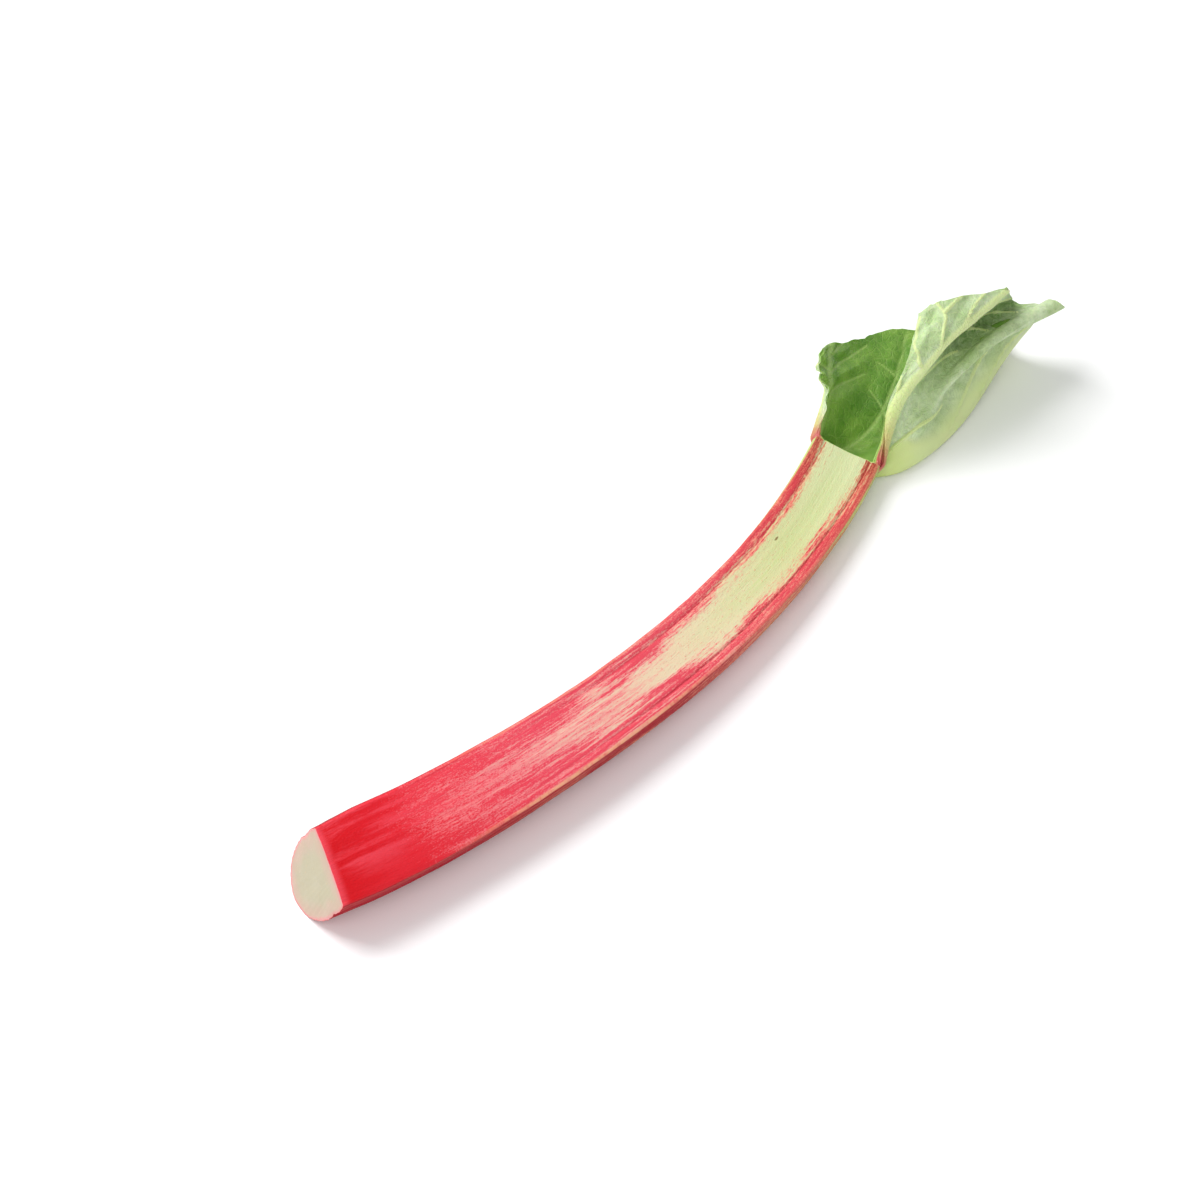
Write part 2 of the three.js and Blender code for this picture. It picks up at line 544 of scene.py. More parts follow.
@dataclass(frozen=True)
class StalkForm:
    """Sizes of the stalk, in millimetres, and the places on its skin."""

    reach: float = 345.0
    near_bow: tuple[float, float] = (0.342, 24.0)  # handle of the spine: share of the reach, aside
    far_bow: tuple[float, float] = (0.681, 22.0)
    joint_aside: float = 26.0
    face_width: tuple[float, float] = (36.0, 32.0)  # at the cut and at the joint
    depth: tuple[float, float] = (34.0, 18.0)
    roll: tuple[float, float] = (30.0, 14.5)  # degrees
    stout_part: float = 0.45  # share of the length over which the width shrinks
    rolled_part: float = 0.75  # share of the length over which the face turns
    ridge_angle: float = 108.0  # degrees from the bottom of the belly to a ridge
    ridge_top: float = 0.05  # share of a half width that the blunt top of a ridge takes up
    foot_swell: tuple[float, float] = (3.0, 0.15)  # extra depth at the cut, share of the length
    cut_pinch: tuple[float, float] = (0.055, 0.06)  # loss of width at the cut, share of the length
    cut_slant: float = 8.2  # how far the belly reaches past the face at the cut
    cut_skew: float = 2.5  # how far the right ridge reaches past the middle
    slanted_part: float = 0.12
    pressed_flat: float = 0.4
    furrow: tuple[float, float, float] = (0.83, 0.05, 0.8)  # across, half width across, depth
    groove: tuple[float, float, float] = (0.76, 0.05, 0.5)
    grooved: tuple[float, float] = (0.2, 0.55)  # where along the groove begins, and is full
    crown: tuple[float, float] = (0.7, -0.7)  # rise of the face's middle at the cut and at the joint
    crowned_part: float = 0.9
    belly_stretch: float = 2.1  # length round the belly to a ridge, against half the width
    rib_pitch: float = 3.1
    rib_height: float = 0.2
    rib_sway: float = 0.5  # how far the ribs wander, in pitches
    rib_wander: Ripple = Ripple(3, 9, 60)
    belly_lumps: tuple[Ripple, float] = (Ripple(5, 8, 26), 0.25)  # with their height
    face_strips: tuple[Ripple, float] = (Ripple(7, 2.2, 90), 0.09)
    face_lumps: tuple[Ripple, float] = (Ripple(8, 9, 30), 0.22)

    def spine(self, along: Array) -> Array:
        """Middle of the stalk, level with the ground.

        Args:
            along: from 0 at the cut to 1 at the joint.

        Returns:
            Places on the curve.
        """
        rest = (1 - along)[..., None]
        done = along[..., None]
        near = np.array([self.reach * self.near_bow[0], -self.near_bow[1], 0])
        far = np.array([self.reach * self.far_bow[0], -self.far_bow[1], 0])
        joint = np.array([self.reach, self.joint_aside, 0])
        return 3 * near * rest**2 * done + 3 * far * rest * done**2 + joint * done**3

    def directions(self, along: Array) -> tuple[Array, Array, Array]:
        """Directions of the section.

        Args:
            along: from 0 at the cut to 1 at the joint.

        Returns:
            Unit vectors along the spine, out of the flat face, and to the right.
        """
        step = 1e-4
        ahead = unit(self.spine(along + step) - self.spine(along - step))
        level = np.cross(ahead, UP)
        roll = np.radians(mix(*self.roll, ease(along, 0, self.rolled_part)))[..., None]
        out = UP * np.cos(roll) + level * np.sin(roll)
        return ahead, out, np.cross(ahead, out)

    def sizes(self, along: Array) -> tuple[Array, Array, Array]:
        """Sizes of the section.

        Args:
            along: from 0 at the cut to 1 at the joint.

        Returns:
            Half the width of the face, the depth, and the belly's depth under the spine.
        """
        loss, pinched = self.cut_pinch
        swell, swollen = self.foot_swell
        half = mix(*self.face_width, ease(along, 0, self.stout_part)) / 2
        half = half * (1 - loss * (1 - ease(along, 0, pinched)))
        depth = mix(*self.depth, ease(along, 0, 1)) + swell * (1 - ease(along, 0, swollen))
        return half, depth, depth / (1 - np.cos(np.radians(self.ridge_angle)))

    def outline(self, side: Side, across: Array, along: Array) -> tuple[Array, Array]:
        """Section of one side.

        Args:
            side: the round or the flat one.
            across: from -1 at the left ridge to 1 at the right ridge.
            along: from 0 at the cut to 1 at the joint.

        Returns:
            How far to the right, and how far out of the face.
        """
        half, depth, belly = self.sizes(along)
        if side is Side.FACE:
            at, half_width, groove = self.groove
            crown = mix(*self.crown, ease(along, 0, self.crowned_part)) * (1 - across**2)
            cut_in = groove * bump(across, at, half_width) * ease(along, *self.grooved)
            return across * half * (1 - self.ridge_top), depth - belly + crown - cut_in
        ridge = np.radians(self.ridge_angle)
        angle = across * ridge * (1 - self.ridge_top / 2)
        right = half / np.sin(ridge) * np.sin(angle)
        out = -belly * np.cos(angle)
        at, half_width, furrow = self.furrow
        shrink = 1 - furrow * bump(across, at, half_width) / np.hypot(right, out)
        return right * shrink, out * shrink

    def height(self, along: Array) -> Array:
        """Height of the spine, so that the belly rests on the ground.

        Args:
            along: from 0 at the cut to 1 at the joint.

        Returns:
            Heights.
        """
        stations = np.linspace(0, 1, 201)
        _, out, right = self.directions(stations)
        across = np.linspace(-1, 1, 81)[:, None]
        to_right, outward = self.outline(Side.UNDER, across, stations[None])
        lowest = (right[:, 2] * to_right + out[:, 2] * outward).min(0)
        return np.interp(along, stations, -lowest - self.pressed_flat)

    def place(self, side: Side, across: Array, along: Array) -> tuple[Array, Array]:
        """Place and outward direction on one side of the skin.

        Args:
            side: the round or the flat one.
            across: from -1 at the left ridge to 1 at the right ridge.
            along: from 0 at the cut to 1 at the joint.

        Returns:
            Places, and outward directions of length one.
        """
        ahead, out, right = self.directions(along)
        half, depth, belly = self.sizes(along)
        to_right, outward = self.outline(side, across, along)
        lean = self.cut_slant * (depth - belly - outward) / depth + self.cut_skew * to_right / half
        lean = lean * (1 - ease(along, 0, self.slanted_part))
        place = self.spine(along) + right * to_right[..., None] + out * outward[..., None]
        place = place - ahead * lean[..., None] + UP * self.height(along)[..., None]
        if side is Side.FACE:
            return place, out
        return place, unit(right * to_right[..., None] + out * outward[..., None])

    def swell(self, side: Side, across: Array, along: Array) -> Array:
        """How far the ribs, strips and lumps of a side stand out.

        Args:
            side: the round or the flat one.
            across: from -1 at the left ridge to 1 at the right ridge.
            along: from 0 at the cut to 1 at the joint.

        Returns:
            Heights above the plain skin.
        """
        half, _, _ = self.sizes(along)
        far = along * self.reach
        if side is Side.FACE:
            wide = across * half
            (strips, strip_height), (lumps, lump_height) = self.face_strips, self.face_lumps
            swell = strip_height * strips.at(wide, far) + lump_height * lumps.at(wide, far)
            return swell * (1 - ease(np.abs(across), 0.92, 1.0))
        wide = across * half * self.belly_stretch
        sway = self.rib_sway * self.rib_wander.at(wide, far)
        ribs = np.cos(2 * np.pi * (wide / self.rib_pitch + sway))
        lumps, lump_height = self.belly_lumps
        swell = self.rib_height * ribs + lump_height * lumps.at(wide, far)
        return swell * (1 - ease(np.abs(across), 0.9, 1.0))


# ---------------------------------------------------------------- the leaf's shape


@dataclass(frozen=True)
class Vein:
    """A raised vein on the leaf.

    Args:
        route: the places that it passes through, across and along.
        half_width: in millimetres, at its start and at its end.
        height: how far it stands out, in millimetres, at its start and at its end.
    """

    route: tuple[tuple[float, float], ...]
    half_width: tuple[float, float]
    height: tuple[float, float]


RAYS = (
    ((351, 46, 30), (358, 54, 36), (363, 61, 38)),  # left margin
    ((353, 48, 30), (361, 58, 36), (369, 67, 38)),
    ((357, 50, 26), (370, 61, 31), (381, 71, 33)),  # left rib
    ((365, 48, 16), (383, 60, 21), (396, 72, 25)),
    ((371, 44, 7), (398, 57, 12), (419, 71, 18)),
    ((374, 37, 2.5), (406, 46, 6), (443, 62, 12)),
    ((374, 29, 1), (410, 36, 2.5), (459, 52, 8)),
    ((372, 20, 0.4), (410, 21, 1.5), (468, 40, 7)),  # keel
    ((368, 8, 2), (413, 10, 4), (470, 27, 10)),
    ((376, 9, 12), (438, 24, 30), (481, 15, 29)),  # hollow under the fold
    ((384, 13, 22), (428, 13, 39), (477, 9, 39)),  # crest of the fold
    ((382, 19, 25), (430, 28, 37), (465, 26, 37)),  # valley
    ((373, 20, 33), (399, 16, 56), (441, 14, 64)),  # right rib
    ((370, 22, 33), (390, 20, 60), (411, 26, 71)),
    ((369, 22, 31), (384, 25, 54), (397, 33, 66)),  # right margin
)
RIB_ACROSS = 5 / 7
VEIN_STEPS = 23  # straight parts that a vein is measured from
MAIN_VEINS = (
    Vein(((RIB_ACROSS, 0.0), (RIB_ACROSS, 0.5), (RIB_ACROSS, 1.0)), (4.2, 2.5), (3.2, 2.3)),
    Vein(((-RIB_ACROSS, 0.0), (-RIB_ACROSS, 0.5), (-RIB_ACROSS, 1.0)), (3.4, 2.3), (2.0, 1.5)),
    Vein(((0.58, 0.06), (0.44, 0.2), (0.39, 0.33), (0.31, 0.45)), (1.3, 0.8), (1.3, 0.7)),
    Vein(((-0.3, 0.08), (-0.3, 0.4), (-0.34, 0.95)), (1.6, 0.9), (0.9, 0.5)),
)
ROLL = Vein(((0.5, 0.34), (0.46, 0.5), (0.44, 0.75), (0.43, 1.0)), (4.0, 6.5), (0.8, 3.4))
SIDE_ROUTES = (
    ((0.72, 0.64), (0.79, 0.74), (0.84, 0.87), (0.9, 0.99)),
    ((0.84, 0.87), (0.82, 0.99)),
    ((0.73, 0.53), (0.84, 0.58), (0.96, 0.7), (0.97, 0.93)),
    ((0.72, 0.77), (0.76, 0.88), (0.77, 0.99)),
    ((0.72, 0.3), (0.82, 0.4), (0.96, 0.5)),
    ((0.7, 0.38), (0.62, 0.5), (0.53, 0.58)),
    ((0.7, 0.55), (0.62, 0.66), (0.5, 0.72)),
    ((0.7, 0.7), (0.62, 0.82), (0.5, 0.88)),
    ((0.7, 0.85), (0.64, 0.95), (0.6, 1.0)),
    ((0.18, 0.55), (0.24, 0.68), (0.26, 0.8)),
    ((0.18, 0.72), (0.22, 0.84), (0.25, 0.96)),
    ((-0.7, 0.35), (-0.8, 0.48), (-0.96, 0.6)),
    ((-0.7, 0.6), (-0.8, 0.73), (-0.94, 0.86)),
    ((-0.7, 0.4), (-0.6, 0.55), (-0.47, 0.66)),
    ((-0.7, 0.62), (-0.6, 0.78), (-0.48, 0.9)),
    ((-0.7, 0.82), (-0.63, 0.95), (-0.6, 1.0)),
    ((-0.16, 0.35), (-0.28, 0.48), (-0.42, 0.56)),
    ((-0.16, 0.55), (-0.28, 0.68), (-0.42, 0.76)),
    ((-0.16, 0.75), (-0.26, 0.88), (-0.34, 0.97)),
)
VEINS = MAIN_VEINS + tuple(Vein(route, (1.2, 0.7), (1.1, 0.5)) for route in SIDE_ROUTES)


@dataclass(frozen=True)
class LeafForm:
    """Sizes of the leaf, in millimetres, and the places on its two sides."""

    stalk: StalkForm
    lip_drop: float = 4.5
    blade_thickness: float = 0.8
    keel: tuple[float, float, float] = (0.15, 4.0, 3.0)  # half width across, at the joint, at the trim
    rib_thickness: float = 1.2
    foot: tuple[float, float] = (0.3, 1.2)  # reach along, thickness
    margin_thinning: float = 0.6  # share of thickness lost where a margin lies close to its rib
    impressed: float = 0.45  # depth of a vein's furrow on the inner side
    quilting: float = 1.5
    quilt_reach: float = 6.0

    def outer(self, across: Array, along: Array) -> Array:
        """Places on the side that was the round side of the stalk, before veins.

        Args:
            across: from -1 at the left margin to 1 at the right margin.
            along: from 0 at the joint to 1 at the trim.

        Returns:
            Places.
        """
        start, _ = self.stalk.place(Side.UNDER, across, np.ones_like(across))
        rays = np.array(RAYS, float)
        share = (across + 1) / 2
        rows = [smooth_curve(rays[:, row], share) for row in range(3)]
        return smooth_curve(np.stack([start, *rows]), along)

    def outward(self, across: Array, along: Array) -> Array:
        """Directions out of the outer side, from its slopes.

        Args:
            across: from -1 at the left margin to 1 at the right margin.
            along: from 0 at the joint to 1 at the trim.

        Returns:
            Directions of length one.
        """
        step = 0.006
        a = np.clip(across, -1 + step, 1 - step)
        b = np.clip(along, step, 1 - step)
        slope_across = self.outer(a + step, b) - self.outer(a - step, b)
        slope_along = self.outer(a, b + step) - self.outer(a, b - step)
        return unit(np.cross(slope_along, slope_across))

    def thickness(self, across: Array, along: Array) -> Array:
        """From the outer to the inner side.

        Args:
            across: from -1 at the left margin to 1 at the right margin.
            along: from 0 at the joint to 1 at the trim.

        Returns:
            Thicknesses.
        """
        half_width, at_joint, at_trim = self.keel
        keel = mix(at_joint, at_trim, along) * np.exp(-((across / half_width) ** 2))
        ribs = self.rib_thickness * (1 - along / 2) * bump(across, RIB_ACROSS, 0.05)
        reach, foot = self.foot
        thickness = self.blade_thickness + keel + ribs + foot * (1 - ease(along, 0, reach))
        at_margin = ease(np.abs(across), 0.66, 0.8)
        near_joint = ease(along, 0.04, 0.16) * (1 - ease(along, 0.3, 0.45))
        return thickness * (1 - self.margin_thinning * at_margin * near_joint)

    def relief(self, places: Array, veins: tuple[Vein, ...]) -> tuple[Array, Array, Array]:
        """How raised veins shape the places of the outer side.

        Args:
            places: in millimetres.
            veins: what is raised.

        Returns:
            How far each place stands out, how far it belongs to a vein from 0 to 1, and its distance to
            the nearest vein in millimetres.
        """
        height = np.zeros(len(places))
        share = np.zeros(len(places))
        nearest = np.full(len(places), np.inf)
        for vein in veins:
            route = smooth_curve(np.array(vein.route, float), np.linspace(0, 1, VEIN_STEPS + 1))
            line = self.outer(route[:, 0], route[:, 1])
            for step, (start, end) in enumerate(zip(line[:-1], line[1:])):
                span = end - start
                part = np.clip(((places - start) @ span) / max(span @ span, TINY), 0, 1)
                away = np.linalg.norm(places - start - part[:, None] * span, axis=1)
                done = (step + part) / VEIN_STEPS
                half_width = mix(*vein.half_width, done)
                profile = 1 - np.clip(away / half_width, 0, 1) ** 2
                height = np.maximum(height, mix(*vein.height, done) * profile)
                share = np.maximum(share, profile)
                nearest = np.minimum(nearest, np.maximum(away - half_width * 0.5, 0))
        return height, share, nearest


# ---------------------------------------------------------------- finishes


@dataclass(frozen=True)
class SkinGrain:
    """Where a point of the stalk's skin is, and the noises there, each from 0 to 1.

    Args:
        across: from -1 at the left ridge to 1 at the right one.
        along: from 0 at the cut to 1 at the joint.
        side: 0 on the round side and 1 on the flat one.
        wide: millimetres across the skin.
        far: millimetres along it.
        speckle: small round spots.
        dash: short dashes along the stalk.
        streak: long thin streaks.
        patch: long broad patches.
        thread: very long fine threads.
    """

    across: Signal
    along: Signal
    side: Signal
    wide: Signal
    far: Signal
    speckle: Signal
    dash: Signal
    streak: Signal
    patch: Signal
    thread: Signal

    def grown(self) -> Signal:
        """How far up the stalk the skin looks, which runs ahead on the left and in patches."""
        return self.along - self.across * 0.035 + (self.patch - 0.5) * 0.05


@dataclass(frozen=True)
class SkinFinish:
    """The stalk's skin: red at the foot, pale green at the top, with red edges and speckles."""

    name: str = "stalk_skin"
    width: float = 17.0  # millimetres that one unit of across stands for
    under_width: float = 33.0  # and on the round side
    length: float = 365.0  # millimetres that one unit of along stands for
    lanes: tuple[float, float] = (3.0, 40.0)  # keep the patterns of the two sides apart
    speckle: tuple[float, float] = (0.5, 1.0)  # width and length of a spot, in millimetres
    dash: tuple[float, float] = (0.7, 3.6)
    streak: tuple[float, float] = (1.3, 34.0)
    patch: tuple[float, float] = (4.5, 40.0)
    thread: tuple[float, float] = (0.8, 70.0)
    bump_depth: float = 0.0003
    roughness: tuple[float, float] = (0.36, 0.52)
    under_roughness: float = 0.16  # added on the round side
    flesh: Stops = (
        (0.0, (228, 112, 108)),
        (0.2, (228, 150, 142)),
        (0.36, (226, 184, 164)),
        (0.5, (222, 200, 168)),
        (0.62, (220, 208, 168)),
        (0.8, (206, 208, 152)),
        (1.0, (206, 214, 164)),
    )
    pink: Stops = (
        (0.0, (226, 26, 44)),
        (0.08, (228, 84, 94)),
        (0.25, (230, 126, 130)),
        (0.5, (230, 138, 136)),
        (0.75, (232, 136, 122)),
        (0.93, (222, 120, 100)),
        (1.0, (186, 96, 70)),
    )
    red: Stops = (
        (0.0, (196, 0, 12)),
        (0.1, (212, 2, 26)),
        (0.3, (222, 60, 82)),
        (0.6, (216, 60, 80)),
        (0.9, (200, 50, 66)),
        (1.0, (140, 52, 46)),
    )
    # pale pink of the painted sheen on the red foot and of the painted highlight along the cut's rim
    painted_highlight_pink: Colour = (238, 84, 100)
    centre_green: Colour = (190, 206, 138)
    deep_red: Colour = (160, 8, 30)
    # deep red of the round side at the foot: its own red, darkened further as painted shade
    crimson_darkened_by_painted_shade: Colour = (156, 0, 26)
    rosy: Colour = (196, 84, 80)
    under_green: Colour = (184, 204, 118)
    ridge_tan: Colour = (232, 168, 132)
    scar_brown: Colour = (116, 88, 44)
    scar: tuple[float, float, float, float] = (-0.38, 0.8, 0.7, 2.0)  # across, along, half sizes in mm

    def grain(self, board: Board) -> SkinGrain:
        """Adds the noises of the skin.

        Args:
            board: the material's nodes.

        Returns:
            The place on the skin and the noises there.
        """
        across, along, side = board.attribute("place")
        wide = across * side.step(0.45, 0.55, self.under_width, self.width)
        far = along * self.length
        lane = side.step(0.45, 0.55, *self.lanes)
        sizes = (self.speckle, self.dash, self.streak, self.patch)
        noises = (board.grain(wide, far, size, lane) for size in sizes)
        thread = board.grain(wide, far, self.thread, lane + 9.0)
        return SkinGrain(across, along, side, wide, far, *noises, thread)

    def redness(self, skin: SkinGrain) -> Signal:
        """How red the flat side is: all of it at the foot, and only a band along each edge higher up.

        Args:
            skin: the place and the noises there.

        Returns:
            About 0 where it is pale, and 1 where it is red.
        """
        along, streak, patch = skin.along, skin.streak, skin.patch
        middle = skin.grown().step(0.0, 0.17, 1.0, 0.52) * along.step(0.14, 0.66, 1.0, 0.0)
        edges = along.step(0.03, 0.16, 1.0, 0.64) * along.step(0.9, 1.0, 1.0, 0.8)
        outward = abs(skin.across) + skin.across * along.step(0.4, 0.7, 0.0, 0.06) + (patch - 0.5) * 0.2
        outward = outward + (streak - 0.5) * 0.16 + (skin.dash - 0.5) * 0.1
        banded = (outward + along.step(0.35, 0.8, 0.12, -0.12)).step(0.26, 0.8)
        amount = middle + (edges - middle) * banded
        mottling = ((streak - 0.5) * 0.3 + (patch - 0.5) * 0.14) * along.step(0.02, 0.14)
        amount = amount + mottling * amount.band(0.5, 0.6)
        return amount + (streak - 0.45) * 0.34 * along.band(0.42, 0.24)

    def face_colour(self, board: Board, skin: SkinGrain) -> bpy.types.NodeSocket:
        """Colour of the flat side.

        Args:
            board: the material's nodes.
            skin: the place and the noises there.

        Returns:
            The colour.
        """
        across, along, dash, streak = skin.across, skin.along, skin.dash, skin.streak
        amount = self.redness(skin)
        rosiness = (amount + (dash - 0.5) * 0.2 + (skin.speckle - 0.5) * 0.12).step(0.02, 0.52)
        spots = skin.speckle * 0.55 + dash * 0.45
        reddened = (amount * 1.1 - 0.76 + spots * 0.64).step(-0.02, 0.38)
        flesh, pink, red = (board.ramp(along, stops) for stops in (self.flesh, self.pink, self.red))
        colour = board.blend(rosiness, flesh, pink)
        centre = across.band(-0.02, 0.5) * along.step(0.5, 0.72) * along.step(0.9, 1.0, 1.0, 0.3)
        colour = board.blend(centre * streak.step(0.1, 0.9, 0.1, 0.55), colour, self.centre_green)
        colour = board.blend(reddened * 0.9, colour, red)
        # painted sheen: soft pale pink patches over the red foot, mostly on its left half, where the light
        # glances off
        painted_sheen = (skin.patch * 0.6 + streak * 0.25 + dash * 0.15).step(0.3, 0.8)
        painted_sheen = painted_sheen * skin.grown().step(-0.02, 0.05) * 0.45
        painted_sheen = painted_sheen * along.step(0.06, 0.3, 1.0, 0.0) * across.step(0.1, 0.8, 1.0, 0.15)
        # painted highlight: a pale pink band along the rim by the cut
        painted_rim_highlight = along.step(0.0, 0.012, 0.55, 0.0)
        colour = board.blend(painted_sheen.larger(painted_rim_highlight), colour, self.painted_highlight_pink)
        stray = (skin.speckle * 0.6 + dash * 0.4).step(0.72, 0.85) * along.step(0.25, 0.5)
        return board.blend(stray * along.step(0.7, 0.95, 0.45, 0.1), colour, red)

    def marked(self, board: Board, skin: SkinGrain, colour: bpy.types.NodeSocket) -> bpy.types.NodeSocket:
        """Adds a darker red line along each groove, tan ridges and a small scar to the flat side.

        Args:
            board: the material's nodes.
            skin: the place and the noises there.
            colour: the flat side without marks.

        Returns:
            The colour with marks.
        """
        across, along, dash = skin.across, skin.along, skin.dash
        # a darker red line along each groove of the flat side
        line = abs(across).band(0.74, 0.05) * along.step(0.3, 0.6) * along.step(0.97, 1.0, 1.0, 0.2)
        colour = board.blend(line * dash.step(0.0, 0.6, 0.2, 0.6), colour, self.deep_red)
        tan = across.step(0.94, 1.0).larger(across.step(-1.0, -0.97, 0.4, 0.0))
        tan = tan * along.step(0.12, 0.3) * along.step(0.42, 0.62, 1.0, 0.2)
        colour = board.blend(tan * dash.step(0.1, 0.6, 0.4, 0.95), colour, self.ridge_tan)
        at, station, half_wide, half_long = self.scar
        aside = (skin.wide - at * self.width) / half_wide
        ahead = (skin.far - station * self.length) / half_long
        scarred = (aside * aside + ahead * ahead + skin.speckle * 0.6).step(0.5, 1.4, 1.0, 0.0)
        return board.blend(scarred * 0.8, colour, self.scar_brown)

    def under_colour(self, board: Board, skin: SkinGrain) -> bpy.types.NodeSocket:
        """Colour of the round side: deep red at the foot, darkened beyond its own red as painted shade,
        then rosy, then green, with tan threads.

        Args:
            board: the material's nodes.
            skin: the place and the noises there.

        Returns:
            The colour.
        """
        along = skin.along
        dash, speckle = skin.dash - 0.5, skin.speckle - 0.5
        rosy = (along.step(0.3, 0.85) * 0.9 + dash * 0.35 + speckle * 0.35).step(0.1, 0.8)
        colour = board.blend(rosy, self.crimson_darkened_by_painted_shade, self.rosy)
        threads = (skin.thread + dash * 0.3).step(0.5, 0.95) * along.step(0.05, 0.6, 0.1, 0.6)
        colour = board.blend(threads, colour, self.ridge_tan)
        greening = (along + (skin.streak - 0.5) * 0.3 + speckle * 0.16).step(0.7, 1.04)
        return board.blend(greening, colour, self.under_green)

    def material(self) -> bpy.types.Material:
        """Builds the skin.

        Returns:
            The material.
        """
        board = Board(self.name)
        skin = self.grain(board)
        face = self.marked(board, skin, self.face_colour(board, skin))
        colour = board.blend(skin.side.step(0.25, 0.75), self.under_colour(board, skin), face)
        rough = (skin.dash * 0.5 + skin.speckle * 0.5).step(0.1, 0.9, *self.roughness)
        height = skin.dash * 0.5 + skin.speckle * 0.3 + skin.streak * 0.2
        return board.finish(
            Base_Color=colour,
            Roughness=rough + skin.side.step(0.3, 0.8, self.under_roughness, 0.0),
            Normal=board.relief(height, self.bump_depth, 0.6),
            Specular_IOR_Level=0.2,
            Subsurface_Weight=0.1,
            Subsurface_Radius=(1.0, 0.3, 0.2),
            Subsurface_Scale=0.001,
        )


@dataclass(frozen=True)
class CutFinish:
    """The pale wet flesh of the cut end, with a pink rim and the ends of its fibres."""

    name: str = "cut_flesh"
    middle: Colour = (178, 170, 142)
    cream: Colour = (188, 162, 142)
    pink: Colour = (214, 132, 134)
    skin_line: Colour = (206, 24, 50)
    fibre: Colour = (206, 168, 124)
    roughness: tuple[float, float] = (0.3, 0.48)
    bump_depth: float = 0.0002

    def material(self) -> bpy.types.Material:
        """Builds the cut flesh.

        Returns:
            The material.
        """
        board = Board(self.name)
        from_rim, _, _ = board.attribute("cut")
        place = board.object_place()
        cloud = board.noise(place, 160.0)
        soft = board.noise(place, 700.0)
        fibres = board.cells(place, 520.0, "F1").step(0.1, 0.26, 1.0, 0.0)
        inward = from_rim + (cloud - 0.5) * 8.0
        colour = board.blend(inward.step(2.0, 9.0), self.cream, self.middle)
        colour = board.blend(fibres * 0.35 * soft.step(0.4, 0.6), colour, self.fibre)
        pink = (from_rim + (cloud - 0.5) * 2.6).step(0.15, 2.0, 0.85, 0.0)
        colour = board.blend(pink, colour, self.pink)
        colour = board.blend(from_rim.step(0.1, 0.42, 0.9, 0.0), colour, self.skin_line)
        return board.finish(
            Base_Color=colour,
            Roughness=cloud.step(0.3, 0.7, *self.roughness),
            Normal=board.relief(soft * 0.6 + fibres * 0.4, self.bump_depth, 0.6),
            Subsurface_Weight=0.25,
            Subsurface_Radius=(1.0, 0.7, 0.4),
            Subsurface_Scale=0.002,
        )


@dataclass(frozen=True)
class LeafGrain:
    """Where a point of the leaf is, and the noises there, each from 0 to 1.

    Args:
        across: from -1 at the left margin to 1 at the right one.
        along: from 0 at the joint to 1 at the trim.
        side: 0 on the outer side and 1 on the inner one.
        vein: how far it belongs to a raised vein.
        fleshy: how far it belongs to the keel and foot.
        cloud: broad soft patches.
        mottle: small patches.
        big_net: the net of small veins.
        small_net: the finer net between them.
    """

    across: Signal
    along: Signal
    side: Signal
    vein: Signal
    fleshy: Signal
    cloud: Signal
    mottle: Signal
    big_net: Signal
    small_net: Signal

    def net(self) -> Signal:
        """How strongly the two nets show on the blade."""
        return (self.big_net * 0.24).larger(self.small_net * 0.09) * (1.0 - self.fleshy)


